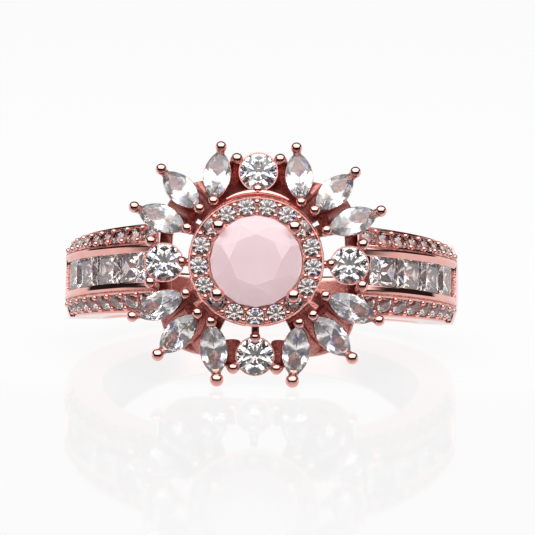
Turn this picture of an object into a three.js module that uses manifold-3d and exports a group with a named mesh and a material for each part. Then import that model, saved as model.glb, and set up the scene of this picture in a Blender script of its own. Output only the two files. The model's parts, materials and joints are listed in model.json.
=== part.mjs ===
// Sunburst cocktail ring, millimetres, +Z up, standing as it rests on a table.
//
// The ring is designed in its own frame: the finger goes through along Z, the head
// faces -Y and the bore's centre is the origin. An outer group then leans it back
// until it rests on its two lowest claws and on the back of the band.
import * as THREE from 'three';
import { ConvexGeometry } from 'three/addons/geometries/ConvexGeometry.js';
import { mergeVertices } from 'three/addons/utils/BufferGeometryUtils.js';
import Module from 'manifold-3d';

const wasm = await Module();
wasm.setup();

// ---- Driving dimensions, mm and degrees ------------------------------------------
const BORE_RADIUS = 8.75;            // a 17.5 mm finger hole
const BAND_RADIUS = 10.96;           // outside of the shoulders
const BACK_RADIUS = 10.4;            // outside of the band at the back
const SHOULDER_HALF = { at30: 2.5, at75: 2.2 }; // half width of the band, by angle from the head
const BACK_HALF = 1.25;
const TAPER = { from: 80, to: 150 }; // the plain band narrows between these angles
const BAND_START = 26.3;             // the band stops here, either side of the head
const HEAD_OPENING = 5.49;           // half width of the straight cut between the band's ends
const CHANNEL = { to: 80.5, half: 0.93, floor: 1.5 };
const RAIL_WIDTH = 0.36;
const GROOVE_DEPTH = 0.85;
const LIP_WIDTH = 0.1;
const BEVEL = 32;                    // slope of the pave rows down to the band's edges
const PRINCESS = { count: 4, first: 39.3, pitch: 10.2, long: 1.84, wide: 1.78, sunk: 0.16 };
const PAVE = { count: 8, first: 34.75, pitch: 6.15, diameter: 0.88 };
const CENTRE = { diameter: 5, out: 13.2 };
const HALO = { count: 17, diameter: 1, radius: 3.14, out: 13, squash: 0.96 };
const HALO_RING = { inner: 2.58, outer: 3.71, rim: 0.16, top: 12.98, bottom: 12.42 };
const ACCENT = { diameter: 2, radius: 5.05, out: 11.7 };
const MARQUISE_WIDTH = 1.5;
const TIP_COVER = 0.15;              // how far a claw's bead reaches over a stone's tip
const BASE_RING = { halfX: 5.1, halfZ: 4.55, wall: 0.7, bottomRadius: 8.95, topRadius: 9.95 }; // draped on the finger
const WEB = { inner: 3.2, brow: 3.75, out: 12.28, thick: 0.35, wall: 0.9 }; // plates from under the halo to the base ring
const LOW_BEAD = { upper: 0.38, middle: 0.34, side: 0.31 };                 // outer beads of the lower petals
const CLAW_BEAD = 0.3;
const PRONG = { x: 2.077, z: 1.872, out: 13.38, bead: 0.39, post: 0.24 };
const PAVILION = 0.43;                // depth below the girdle, as a share of the diameter
const SEAT_CLEARANCE = 1.02;         // a seat is this much larger than its stone

// Claw beads of one quarter of the sunburst: across, up and out from the bore's centre.
const PETALS = {
  upper: { inner: [2.4, 3.29, 12.8], outer: [2.06, 6.38, 11.8] },
  middle: { inner: [3.14, 2.86, 12.9], outer: [5.3, 5.09, 11.9] },
  side: { inner: [3.8, 1.79, 12.75], outer: [6.73, 3, 11.8] },
};
const ACCENT_CLAWS = { across: 1.18, beyond: 0.68, outerOut: 11.8, inner: 4.04, innerOut: 12.2 };
const SIDE_ACCENT_CLAWS = { across: 1.13, beyond: 0.73, outerOut: 12, inner: 4.05, innerOut: 12.2 };

// ---- Finishes ----------------------------------------------------------------------
const roseGold = new THREE.MeshStandardMaterial({ color: 0xe0a090, roughness: 0.16, metalness: 1 });
const clearStone = new THREE.MeshStandardMaterial({ color: 0xf4f4f8, roughness: 0.03, metalness: 0 });
const pinkStone = new THREE.MeshStandardMaterial({ color: 0xe6d2da, roughness: 0.1, metalness: 0 });

// ---- Small helpers -----------------------------------------------------------------
const radians = THREE.MathUtils.degToRad;
const lerp = THREE.MathUtils.lerp;
const headPoint = (across, up, out) => new THREE.Vector3(across, -out, up);
const OUT = new THREE.Vector3(0, -1, 0);

// A point on the band: angle from the head, radius and height.
function bandPoint(degrees, radius, height) {
  const a = radians(degrees);
  return new THREE.Vector3(radius * Math.sin(a), -radius * Math.cos(a), height);
}

// A matrix that puts local x along xAxis and local z as near zAxis as it can be.
function placement(origin, xAxis, zAxis) {
  const x = xAxis.clone().normalize();
  const y = zAxis.clone().cross(x).normalize();
  const z = x.clone().cross(y);
  return new THREE.Matrix4().makeBasis(x, y, z).setPosition(origin);
}

// ---- Booleans ----------------------------------------------------------------------
function solidOf(geometry, matrix = new THREE.Matrix4()) {
  const bare = geometry.clone().applyMatrix4(matrix);
  for (const name of ['normal', 'uv']) bare.deleteAttribute(name);
  const merged = mergeVertices(bare, 1e-5);
  const vertProperties = Float32Array.from(merged.attributes.position.array);
  const triVerts = Uint32Array.from(merged.index.array);
  return new wasm.Manifold(new wasm.Mesh({ numProp: 3, vertProperties, triVerts }));
}

const joined = (solids) => solids.reduce((whole, solid) => whole.add(solid));
const cut = (whole, tools) => tools.reduce((rest, tool) => rest.subtract(tool), whole);

function geometryOf(solid) {
  const mesh = solid.getMesh();
  const geometry = new THREE.BufferGeometry();
  geometry.setAttribute('position', new THREE.BufferAttribute(mesh.vertProperties, 3));
  geometry.setIndex(new THREE.BufferAttribute(mesh.triVerts, 1));
  geometry.computeVertexNormals();
  return geometry;
}

// ---- Lofts -------------------------------------------------------------------------
// Joins rings of equal length. A loop closes on its first ring; otherwise the flat
// outline given closes both ends.
function loft(rings, { loop = false, cap = [] } = {}) {
  const size = rings[0].length;
  const positions = rings.flat().flatMap((p) => p.toArray());
  const index = [];
  const steps = loop ? rings.length : rings.length - 1;
  for (let i = 0; i < steps; i += 1) {
    const near = i * size;
    const far = ((i + 1) % rings.length) * size;
    for (let j = 0; j < size; j += 1) {
      const k = (j + 1) % size;
      index.push(near + j, far + j, far + k, near + j, far + k, near + k);
    }
  }
  const last = (rings.length - 1) * size;
  const clockwise = !loop && THREE.ShapeUtils.isClockWise(cap);
  for (const [a, b, c] of loop ? [] : THREE.ShapeUtils.triangulateShape(cap, [])) {
    if (clockwise) index.push(a, c, b, last + a, last + b, last + c);
    else index.push(a, b, c, last + a, last + c, last + b);
  }
  const geometry = new THREE.BufferGeometry();
  geometry.setAttribute('position', new THREE.Float32BufferAttribute(positions, 3));
  geometry.setIndex(index);
  return facingOut(geometry);
}

function facingOut(geometry) {
  const { array } = geometry.attributes.position;
  const index = geometry.index.array;
  const [a, b, c] = [new THREE.Vector3(), new THREE.Vector3(), new THREE.Vector3()];
  let volume = 0;
  for (let i = 0; i < index.length; i += 3) {
    a.fromArray(array, index[i] * 3);
    b.fromArray(array, index[i + 1] * 3);
    c.fromArray(array, index[i + 2] * 3);
    volume += a.dot(b.cross(c));
  }
  if (volume < 0) {
    for (let i = 0; i < index.length; i += 3) [index[i], index[i + 1]] = [index[i + 1], index[i]];
  }
  return geometry;
}

// A round post between two points, and the bead on its end.
function post(from, to, radiusFrom, radiusTo, sides = 5) {
  const span = to.clone().sub(from);
  const across = Math.abs(span.x) < Math.abs(span.y) ? new THREE.Vector3(1, 0, 0) : new THREE.Vector3(0, 0, 1);
  const rod = new THREE.CylinderGeometry(radiusTo, radiusFrom, span.length(), sides);
  rod.rotateX(Math.PI / 2).translate(0, 0, span.length() / 2);
  return solidOf(rod, placement(from, across.cross(span), span));
}

function bead(centre, radius, detail = 0) {
  const ball = new THREE.IcosahedronGeometry(radius, detail);
  return solidOf(ball, new THREE.Matrix4().setPosition(centre));
}

// ---- Cuts of stone -----------------------------------------------------------------
const ringOf = (count, turn, pointAt) => Array.from({ length: count }, (_, i) =>
  pointAt(((i + turn) / count) * 2 * Math.PI));

// Round brilliant: table, stars and kites above the girdle, mains and halves below.
function brilliant(diameter) {
  const circle = (count, turn, radius, height) => ringOf(count, turn, (a) =>
    new THREE.Vector3(radius * Math.cos(a), radius * Math.sin(a), height).multiplyScalar(diameter));
  return new ConvexGeometry([
    ...circle(8, 0, 0.285, 0.16),
    ...circle(8, 0.5, 0.405, 0.0985),
    ...circle(16, 0, 0.5, 0.012),
    ...circle(16, 0, 0.5, -0.012),
    ...circle(8, 0.5, 0.115, -0.341),
    new THREE.Vector3(0, 0, -PAVILION * diameter),
  ]);
}

// Square princess: a flat table over a cross of facets that meet in a point.
function princess(long, wide) {
  const corners = (scale, height) => [[1, 1], [-1, 1], [-1, -1], [1, -1]].map(([sx, sy]) =>
    new THREE.Vector3((sx * scale * long) / 2, (sy * scale * wide) / 2, height * wide));
  const ridge = (scale, height) => [[1, 0], [0, 1], [-1, 0], [0, -1]].map(([sx, sy]) =>
    new THREE.Vector3((sx * scale * long) / 2, (sy * scale * wide) / 2, height * wide));
  return new ConvexGeometry([
    ...corners(0.66, 0.12), ...corners(1, 0.012), ...corners(1, -0.012),
    ...ridge(0.76, -0.2), ...ridge(0.4, -0.44), new THREE.Vector3(0, 0, -0.62 * wide),
  ]);
}

// Outline of a marquise: two arcs that meet in points, at an angle round its middle.
function marquiseAt(length, width, scale, angle) {
  const arc = (length ** 2 + width ** 2) / (4 * width);
  const x = (length / 2) * Math.cos(angle);
  const y = Math.sqrt(arc ** 2 - x ** 2) - (arc - width / 2);
  return new THREE.Vector2(x * scale, Math.sign(Math.sin(angle)) * Math.max(y, 0) * scale);
}

function marquise(length, width) {
  const level = (count, turn, scale, height) => ringOf(count, turn, (a) => {
    const p = marquiseAt(length, width, scale, a);
    return new THREE.Vector3(p.x, p.y, height * width);
  });
  return new ConvexGeometry([
    ...level(8, 0.5, 0.6, 0.17), ...level(8, 0, 0.8, 0.1),
    ...level(16, 0, 1, 0.015), ...level(16, 0, 1, -0.015),
    ...level(8, 0.5, 0.45, -0.27), new THREE.Vector3(0, 0, -0.42 * width),
  ]);
}

// ---- Assembly bookkeeping ----------------------------------------------------------
const ring = new THREE.Group();

function addPiece(name, geometry, material, matrix = new THREE.Matrix4()) {
  const mesh = new THREE.Mesh(geometry, material);
  mesh.name = name;
  mesh.applyMatrix4(matrix);
  ring.add(mesh);
}

// The hole cut for a stone: a plain cone-bottomed plug round it, given the girdle's outline.
function seatCutter(outline, depth, matrix) {
  const level = (scale, height) => outline.map((p) => new THREE.Vector3(p.x * scale, p.y * scale, height));
  const plug = new ConvexGeometry([
    ...level(SEAT_CLEARANCE, depth * 0.4), ...level(SEAT_CLEARANCE, -depth * 0.04),
    new THREE.Vector3(0, 0, -depth * 1.06),
  ]);
  return solidOf(plug, matrix);
}

const roundOutline = (diameter, sides) => ringOf(sides, 0, (a) => {
  const radius = diameter / 2 / Math.cos(Math.PI / sides);
  return new THREE.Vector2(radius * Math.cos(a), radius * Math.sin(a));
});
const numbered = (i) => String(i + 1).padStart(2, '0');

// ---- Band --------------------------------------------------------------------------
function halfWidthAt(degrees) {
  if (degrees <= TAPER.from) return lerp(SHOULDER_HALF.at30, SHOULDER_HALF.at75, (degrees - 30) / 45);
  const blend = THREE.MathUtils.smoothstep(degrees, TAPER.from, TAPER.to);
  return lerp(halfWidthAt(TAPER.from), BACK_HALF, blend);
}

const RAIL_OUTER = CHANNEL.half + RAIL_WIDTH;
const bevelDrop = (height) => (height - RAIL_OUTER) * Math.tan(radians(BEVEL));

// Half a section as [height, radius], from the middle of the outside to the middle of the bore.
function shoulderHalf(half) {
  const lip = half - LIP_WIDTH;
  const lipRadius = BAND_RADIUS - bevelDrop(lip);
  return [
    [0, BAND_RADIUS - CHANNEL.floor], [CHANNEL.half, BAND_RADIUS - CHANNEL.floor],
    [CHANNEL.half, BAND_RADIUS], [RAIL_OUTER, BAND_RADIUS],
    [RAIL_OUTER + 0.02, BAND_RADIUS - GROOVE_DEPTH], [lip - 0.02, lipRadius - GROOVE_DEPTH + 0.2],
    [lip, lipRadius], [half, lipRadius - 0.06],
    ...boreSide(half),
  ];
}

function plainHalf(half, radius) {
  const crown = (share) => [share * half, radius - 0.28 * share ** 4];
  return [...[0, 0.25, 0.4, 0.54, 0.66, 0.78, 0.9, 1].map(crown), ...boreSide(half)];
}

function boreSide(half) {
  return [[half, BORE_RADIUS + 0.2], [half - 0.2, BORE_RADIUS], [0, BORE_RADIUS]];
}

function wholeSection(halfSection) {
  const mirrored = halfSection.slice(1, -1).reverse().map(([height, radius]) => [-height, radius]);
  return [...halfSection, ...mirrored];
}

function bandSections() {
  const shoulder = (a) => [a, wholeSection(shoulderHalf(halfWidthAt(a)))];
  const plain = (a) => {
    const radius = lerp(BAND_RADIUS, BACK_RADIUS, THREE.MathUtils.smoothstep(a, TAPER.from, 180));
    return [a, wholeSection(plainHalf(halfWidthAt(a), radius))];
  };
  const side = [];
  for (let a = BAND_START; a < CHANNEL.to - 1; a += 5.78) side.push(shoulder(a));
  side.push(shoulder(CHANNEL.to), plain(CHANNEL.to + 0.1));
  for (let a = 87; a < 179; a += 6.6) side.push(plain(a));
  const other = [...side].reverse().map(([a, section]) => [360 - a, section]);
  return [...side, plain(180), ...other];
}

function bandGeometry() {
  const sections = bandSections();
  const rings = sections.map(([a, section]) => section.map(([h, r]) => bandPoint(a, r, h)));
  const cap = sections[0][1].map(([h, r]) => new THREE.Vector2(h, r));
  const opening = new THREE.BoxGeometry(2 * HEAD_OPENING, BAND_RADIUS, 4 * SHOULDER_HALF.at30);
  opening.translate(0, -BAND_RADIUS, 0);
  return geometryOf(solidOf(loft(rings, { cap })).subtract(solidOf(opening)));
}

// A stone's place on the band: its middle, with x along the band and z facing outwards.
function bandSeat(degrees, height, radius, tilt) {
  const radial = bandPoint(degrees, 1, 0);
  const along = new THREE.Vector3(Math.cos(radians(degrees)), Math.sin(radians(degrees)), 0);
  const facing = radial.multiplyScalar(Math.cos(tilt)).add(new THREE.Vector3(0, 0, Math.sin(tilt)));
  return placement(bandPoint(degrees, radius, height), along, facing);
}

function addChannelStones(side, name) {
  for (let i = 0; i < PRINCESS.count; i += 1) {
    const seat = bandSeat(side * (PRINCESS.first + i * PRINCESS.pitch), 0, BAND_RADIUS - PRINCESS.sunk, 0);
    addPiece(`channel_stone_${name}_${i + 1}`, princess(PRINCESS.long, PRINCESS.wide), clearStone, seat);
  }
}

// One row of pave stones, joined at their pavilions so that the row is one body.
function paveRow(side, edge) {
  const seats = Array.from({ length: PAVE.count }, (_, i) => {
    const a = PAVE.first + i * PAVE.pitch;
    const height = (RAIL_OUTER + halfWidthAt(a) - LIP_WIDTH) / 2;
    const radius = BAND_RADIUS - bevelDrop(height) - 0.03;
    return bandSeat(side * a, edge * height, radius, edge * radians(BEVEL));
  });
  const stones = seats.map((seat) => solidOf(brilliantLow(PAVE.diameter), seat));
  const under = seats.map((seat) => new THREE.Vector3(0, 0, -0.12).applyMatrix4(seat));
  const links = under.slice(1).map((p, i) => post(under[i], p, 0.1, 0.1, 3));
  return geometryOf(joined([...stones, ...links]));
}

// A small brilliant with only its main facets.
function brilliantLow(diameter) {
  const circle = (radius, height) => ringOf(6, 0.5, (a) =>
    new THREE.Vector3(radius * Math.cos(a), radius * Math.sin(a), height).multiplyScalar(diameter));
  return new ConvexGeometry([...circle(0.3, 0.15), ...circle(0.5, 0), new THREE.Vector3(0, 0, -PAVILION * diameter)]);
}

// ---- Sunburst ----------------------------------------------------------------------
// One petal of the sunburst, mirrored to its quarter.
function petalAt({ inner, outer }, sx, sz) {
  const from = headPoint(sx * inner[0], sz * inner[1], inner[2]);
  const to = headPoint(sx * outer[0], sz * outer[1], outer[2]);
  const length = from.distanceTo(to) - 2 * TIP_COVER;
  const middle = from.clone().lerp(to, 0.5);
  const seat = placement(middle, to.clone().sub(from), OUT);
  seat.setPosition(new THREE.Vector3(0, 0, -0.12).applyMatrix4(seat));
  return { from, to, length, seat };
}

// The boat-shaped cup under a marquise: a wall that narrows away from the stone.
function petalCup({ length, seat }) {
  const level = (scale, depth) => ringOf(8, 0, (a) => {
    const p = marquiseAt(length, MARQUISE_WIDTH, scale, a);
    return new THREE.Vector3(p.x, p.y, -depth);
  });
  const wall = [level(1.02, 0.06), level(0.68, 1), level(0.42, 1), level(0.86, 0.06)];
  return solidOf(loft(wall, { loop: true }), seat);
}

function petalFrame(petal, outerBead) {
  const { from, to, length, seat } = petal;
  const inCup = (x, depth) => new THREE.Vector3(x * (length / 2), 0, -depth).applyMatrix4(seat);
  const turn = Math.atan2(from.z, from.x);
  return joined([
    petalCup(petal),
    post(inCup(0.5, 0.85), to, 0.17, 0.24), bead(to, outerBead),
    post(onBase(turn, -0.1, -0.3), from, 0.2, 0.24), bead(from, CLAW_BEAD),
    post(onBase(turn, 0, -0.3), inCup(-0.1, 0.85), 0.24, 0.2),
  ]);
}

// Radius of the base ring at a turn, beyond its middle line: a superellipse of the fourth power.
function ringRadius(turn, beyond) {
  const across = Math.cos(turn) / (BASE_RING.halfX + beyond);
  const up = Math.sin(turn) / (BASE_RING.halfZ + beyond);
  return (across ** 4 + up ** 4) ** -0.25;
}

// A point over the base ring, by its turn round the head, its distance out from the ring's
// middle line and its height above the ring's top.
function onBase(turn, beyond, above) {
  const radius = ringRadius(turn, beyond);
  const across = radius * Math.cos(turn);
  const top = Math.sqrt(BASE_RING.topRadius ** 2 - across ** 2);
  return headPoint(across, radius * Math.sin(turn), top + above);
}

// The base ring, a saddle draped over the finger.
function baseRing() {
  const { wall, bottomRadius, topRadius } = BASE_RING;
  const height = topRadius - bottomRadius;
  const corners = [[-1, -height], [1, -height], [1, 0], [-1, 0]];
  const rings = ringOf(48, 0, (turn) => corners.map(([edge, above]) => onBase(turn, (edge * wall) / 2, above)));
  return solidOf(loft(rings, { loop: true }));
}

// A sloping plate from under the halo to the base ring, between two turns.
function web(from, to) {
  const { inner, brow, out, thick, wall } = WEB;
  const section = (turn) => {
    const foot = ringRadius(turn, 0);
    const heel = -onBase(turn, 0, -0.15).y;
    return [[inner, out], [brow, out], [foot, heel + wall], [foot, heel], [brow - 0.15, out - thick], [inner, out - thick]];
  };
  const turns = [0, 0.25, 0.5, 0.75, 1].map((share) => radians(lerp(from, to, share)));
  const rings = turns.map((turn) => section(turn).map(([radius, height]) =>
    headPoint(radius * Math.cos(turn), radius * Math.sin(turn), height)));
  return solidOf(loft(rings, { cap: section(turns[0]).map(([r, h]) => new THREE.Vector2(r, h)) }));
}

// Where the webs stand: one in each quarter and two more beside the top accent.
const WEBS = [[36, 62], [118, 144], [216, 242], [298, 324], [61, 73], [107, 119]];

const QUARTERS = [['upper_left', -1, 1], ['upper_right', 1, 1], ['lower_left', -1, -1], ['lower_right', 1, -1]];

function addSunburst() {
  const parts = [baseRing(), ...WEBS.map(([from, to]) => web(from, to))];
  const cutters = [];
  for (const [quarter, sx, sz] of QUARTERS) {
    for (const [place, beads] of Object.entries(PETALS)) {
      const petal = petalAt(beads, sx, sz);
      const stone = marquise(petal.length, MARQUISE_WIDTH);
      addPiece(`marquise_${quarter}_${place}`, stone, clearStone, petal.seat);
      parts.push(petalFrame(petal, sz < 0 ? LOW_BEAD[place] : CLAW_BEAD));
      const outline = ringOf(10, 0, (a) => marquiseAt(petal.length, MARQUISE_WIDTH, 1.02, a));
      cutters.push(seatCutter(outline, 0.42 * MARQUISE_WIDTH, petal.seat));
    }
  }
  addPiece('sunburst_gallery', geometryOf(cut(joined(parts), cutters)), roseGold);
}

// ---- Round accents -----------------------------------------------------------------
function collet(turn, claws, onBand) {
  const spin = new THREE.Matrix4().makeRotationY(-turn);
  const local = (along, across, out) => headPoint(along, across, out).applyMatrix4(spin);
  const { radius, out } = ACCENT;
  const profile = [[0.62, -0.82], [0.78, -0.82], [1.02, -0.08], [0.84, -0.08], [0.62, -0.82]];
  const cup = new THREE.LatheGeometry(profile.map(([r, h]) => new THREE.Vector2(r, h)), 16);
  const seat = placement(local(radius, 0, out), local(1, 0, 0), OUT);
  const upright = new THREE.Matrix4().makeRotationX(Math.PI / 2);
  const parts = [solidOf(cup, seat.clone().multiply(upright))];
  for (const side of [-1, 1]) {
    const tip = local(radius + claws.beyond, side * claws.across, claws.outerOut);
    const root = local(radius + claws.beyond * 0.45, side * claws.across * 0.6, out - 0.75);
    const foot = onBand ? local(radius + 0.55, side * 1.1, 9.66) : local(radius - 0.35, side * 1.45, 10.35);
    parts.push(post(root, tip, 0.18, 0.25), bead(tip, 0.32));
    parts.push(post(foot, local(radius + 0.5, side * (claws.across - 0.05), out - 0.3), onBand ? 0.2 : 0.34, 0.24));
  }
  const innerTip = local(claws.inner, 0, claws.innerOut);
  parts.push(post(local(radius - 0.8, 0, out - 0.4), innerTip, 0.2, 0.24), bead(innerTip, 0.29));
  parts.push(post(local(HALO_RING.outer - 0.4, 0, HALO_RING.bottom - 0.28), local(radius - 0.9, 0, out + 0.2), 0.17, 0.2));
  const plug = seatCutter(roundOutline(ACCENT.diameter, 12), PAVILION * ACCENT.diameter, seat);
  return { seat, metal: joined(parts).subtract(plug) };
}

function addAccents() {
  const places = { right: 0, top: 90, left: 180, bottom: 270 };
  for (const [name, degrees] of Object.entries(places)) {
    const onBand = degrees % 180 === 0;
    const { seat, metal } = collet(radians(degrees), onBand ? SIDE_ACCENT_CLAWS : ACCENT_CLAWS, onBand);
    addPiece(`accent_collet_${name}`, geometryOf(metal), roseGold);
    addPiece(`accent_stone_${name}`, brilliant(ACCENT.diameter), clearStone, seat);
  }
}

// ---- Halo and centre stone ---------------------------------------------------------
// A point of the halo: its angle from straight down, its radius and how far out it is.
function haloPoint(angle, radius, out) {
  return headPoint(radius * Math.sin(angle), -radius * HALO.squash * Math.cos(angle), out);
}

function haloRing() {
  const { inner, outer, rim, top, bottom } = HALO_RING;
  const profile = [
    [inner, top], [outer - rim - 0.04, top], [outer - rim, top + 0.12], [outer, top + 0.08],
    [outer - 0.3, bottom], [inner - 0.1, bottom],
  ];
  const rings = ringOf(34, 0.5, (a) => profile.map(([radius, out]) => haloPoint(a, radius, out)));
  return solidOf(loft(rings, { loop: true }));
}

function centreProng(sx, sz) {
  const at = (scale, out) => headPoint(sx * PRONG.x * scale, sz * PRONG.z * scale, out);
  const tip = at(1, PRONG.out);
  const knee = at(0.99, HALO_RING.bottom - 0.1);
  const foot = at(0.62, 11.05);
  return [post(knee, tip, PRONG.post, PRONG.post, 6), bead(tip, PRONG.bead, 1), post(foot, knee, 0.22, PRONG.post),
    bead(knee, PRONG.post + 0.03)];
}

function addHalo() {
  const centre = brilliant(CENTRE.diameter);
  const centreSeat = placement(headPoint(0, 0, CENTRE.out), new THREE.Vector3(1, 0, 0), OUT);
  const base = new THREE.TorusGeometry(1.73, 0.2, 5, 20);
  const parts = [haloRing(), solidOf(base, placement(headPoint(0, 0, 11), new THREE.Vector3(1, 0, 0), OUT))];
  const cutters = [seatCutter(roundOutline(CENTRE.diameter, 24), PAVILION * CENTRE.diameter, centreSeat)];
  for (const [, sx, sz] of QUARTERS) parts.push(...centreProng(sx, sz));
  for (let i = 0; i < HALO.count; i += 1) {
    const angle = (i / HALO.count) * 2 * Math.PI;
    const seat = placement(haloPoint(angle, HALO.radius, HALO.out), haloPoint(angle, 1, 0), OUT);
    const stone = brilliant(HALO.diameter);
    addPiece(`halo_stone_${numbered(i)}`, stone, clearStone, seat);
    cutters.push(seatCutter(roundOutline(HALO.diameter, 10), PAVILION * HALO.diameter, seat));
  }
  addPiece('centre_stone', centre, pinkStone, centreSeat);
  addPiece('halo_setting', geometryOf(cut(joined(parts), cutters)), roseGold);
}

// ---- Resting pose ------------------------------------------------------------------
// The table touches the two lowest claw beads and the back edge of the band; the line
// from one to the other gives the lean.
function leanAngle() {
  const [, up, out] = PETALS.upper.outer;
  const claw = new THREE.Vector2(-out, -up);
  const [, edgeRadius] = plainHalf(BACK_HALF, BACK_RADIUS)[7];
  const edge = new THREE.Vector2(edgeRadius, -BACK_HALF);
  const span = edge.clone().sub(claw);
  return span.angle() + Math.asin(LOW_BEAD.upper / span.length());
}

// ---- Assembly ----------------------------------------------------------------------
addPiece('band', bandGeometry(), roseGold);
for (const [name, side] of [['left', -1], ['right', 1]]) {
  addChannelStones(side, name);
  for (const [edgeName, edge] of [['upper', 1], ['lower', -1]]) {
    addPiece(`pave_row_${name}_${edgeName}`, paveRow(side, edge), clearStone);
  }
}
addSunburst();
addAccents();
addHalo();

ring.rotation.x = -leanAngle();
const standing = new THREE.Group().add(ring);
standing.updateMatrixWorld(true);
const box = new THREE.Box3().setFromObject(standing, true);
const middle = box.getCenter(new THREE.Vector3());
standing.position.set(-middle.x, -middle.y, -box.min.z);

export default standing;
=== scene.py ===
"""A rose gold sunburst cocktail ring: its fine surfaces, finishes, light and camera.

The ring is worked out in millimetres in its own frame: the finger goes through along Z, the head
faces -Y and the bore's centre is the origin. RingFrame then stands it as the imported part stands,
in metres.
"""
from __future__ import annotations

import json
import logging
import math
from dataclasses import dataclass, field
from enum import Enum

import bmesh
import bpy
import numpy as np
from mathutils import Matrix, Vector


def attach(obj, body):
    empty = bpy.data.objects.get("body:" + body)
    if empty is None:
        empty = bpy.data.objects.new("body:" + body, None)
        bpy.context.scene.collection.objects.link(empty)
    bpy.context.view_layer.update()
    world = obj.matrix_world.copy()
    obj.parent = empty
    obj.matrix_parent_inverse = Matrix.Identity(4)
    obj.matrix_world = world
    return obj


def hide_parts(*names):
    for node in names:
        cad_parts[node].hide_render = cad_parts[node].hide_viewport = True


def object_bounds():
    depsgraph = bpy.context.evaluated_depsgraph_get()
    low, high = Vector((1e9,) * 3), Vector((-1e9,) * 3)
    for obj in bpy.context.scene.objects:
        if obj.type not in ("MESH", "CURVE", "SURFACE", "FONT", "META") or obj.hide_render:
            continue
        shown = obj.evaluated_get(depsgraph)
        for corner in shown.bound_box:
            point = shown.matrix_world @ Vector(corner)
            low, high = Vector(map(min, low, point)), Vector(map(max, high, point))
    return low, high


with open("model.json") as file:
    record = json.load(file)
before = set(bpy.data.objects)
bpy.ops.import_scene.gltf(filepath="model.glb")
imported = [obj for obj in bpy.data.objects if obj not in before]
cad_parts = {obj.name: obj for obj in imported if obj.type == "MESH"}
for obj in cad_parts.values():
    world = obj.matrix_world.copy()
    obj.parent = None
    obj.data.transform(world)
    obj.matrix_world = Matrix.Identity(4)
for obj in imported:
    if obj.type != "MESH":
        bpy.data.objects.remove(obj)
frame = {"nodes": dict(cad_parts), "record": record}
CAD_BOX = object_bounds()
BODY = "root"
TAU = 2 * math.pi
Array = np.ndarray
log = logging.getLogger("ring")


# ---- Names -------------------------------------------------------------------------
class Side(Enum):
    """The two shoulders of the band."""

    LEFT = -1
    RIGHT = 1


class Edge(Enum):
    """The two edges of the band."""

    UPPER = 1
    LOWER = -1


ROWS = [(side, edge) for side in Side for edge in Edge]


class Slot(Enum):
    """The record's material slots."""

    BAND = "band_metal"
    HEAD = "head_metal"
    CLEAR = "clear_stone"
    PINK = "pink_stone"


# ---- Points and frames ---------------------------------------------------------------
def unit(vectors: Array) -> Array:
    """Vectors scaled to length 1."""
    return vectors / np.linalg.norm(vectors, axis=-1, keepdims=True)


def head_point(across: float | Array, up: float | Array, out: float | Array) -> Array:
    """A point of the head.

    Args:
        across: millimetres to the right.
        up: millimetres above the finger's middle line.
        out: millimetres out from the bore's centre.

    Returns:
        The point or points, xyz last.
    """
    across, up, out = np.broadcast_arrays(across, up, out)
    return np.stack([across, -out, up], axis=-1).astype(float)


def band_point(angle: float | Array, radius: float | Array, height: float | Array) -> Array:
    """A point of the band.

    Args:
        angle: radians from the head, growing to the right.
        radius: millimetres from the finger's middle line.
        height: millimetres above the band's middle.

    Returns:
        The point or points, xyz last.
    """
    angle, radius, height = np.broadcast_arrays(angle, radius, height)
    return np.stack([radius * np.sin(angle), -radius * np.cos(angle), height], axis=-1).astype(float)


def smoothstep(value: float | Array, low: float, high: float) -> Array:
    """A smooth rise from 0 at low to 1 at high."""
    t = np.clip((np.asarray(value, float) - low) / (high - low), 0, 1)
    return t * t * (3 - 2 * t)


@dataclass(frozen=True)
class RingFrame:
    """How the ring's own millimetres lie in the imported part's metres."""

    origin: Array
    turn: Array

    @classmethod
    def from_record(cls, record: dict) -> RingFrame:
        """The frame of the finger bore, from its mount.

        Args:
            record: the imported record.

        Returns:
            The ring's frame: Z along the bore and X across the head.
        """
        bore = next(m for m in record["mounts"] if m["name"] == "finger_bore")
        up = unit(np.array(bore["axis"], float))
        across = np.array([1.0, 0.0, 0.0])
        return cls(np.array(bore["pos_m"], float), np.stack([across, np.cross(up, across), up], axis=1))

    def to_row(self, points: Array) -> Array:
        """Points in millimetres of the ring as metres of the part."""
        return points @ self.turn.T / 1000 + self.origin

    def direction(self, vector: Array) -> Array:
        """A direction of the ring as a direction of the part."""
        return vector @ self.turn.T


@dataclass(frozen=True)
class Seat:
    """The place of a stone: its middle, the line of its length and the way its table faces."""

    middle: Array
    along: Array
    facing: Array

    @classmethod
    def at(cls, middle: Array, along: Array, facing: Array) -> Seat:
        """A seat with along kept and facing made square to it."""
        along = unit(np.asarray(along, float))
        facing = np.asarray(facing, float)
        return cls(np.asarray(middle, float), along, unit(facing - along * (facing @ along)))

    def place(self, points: Array) -> Array:
        """Points of the seat's own frame, x along and z facing, in the ring's frame."""
        across = np.cross(self.facing, self.along)
        return points @ np.stack([self.along, across, self.facing]) + self.middle

    def sunk(self, depth: float) -> Seat:
        """The same seat, deeper by depth."""
        return Seat(self.middle - self.facing * depth, self.along, self.facing)


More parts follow.
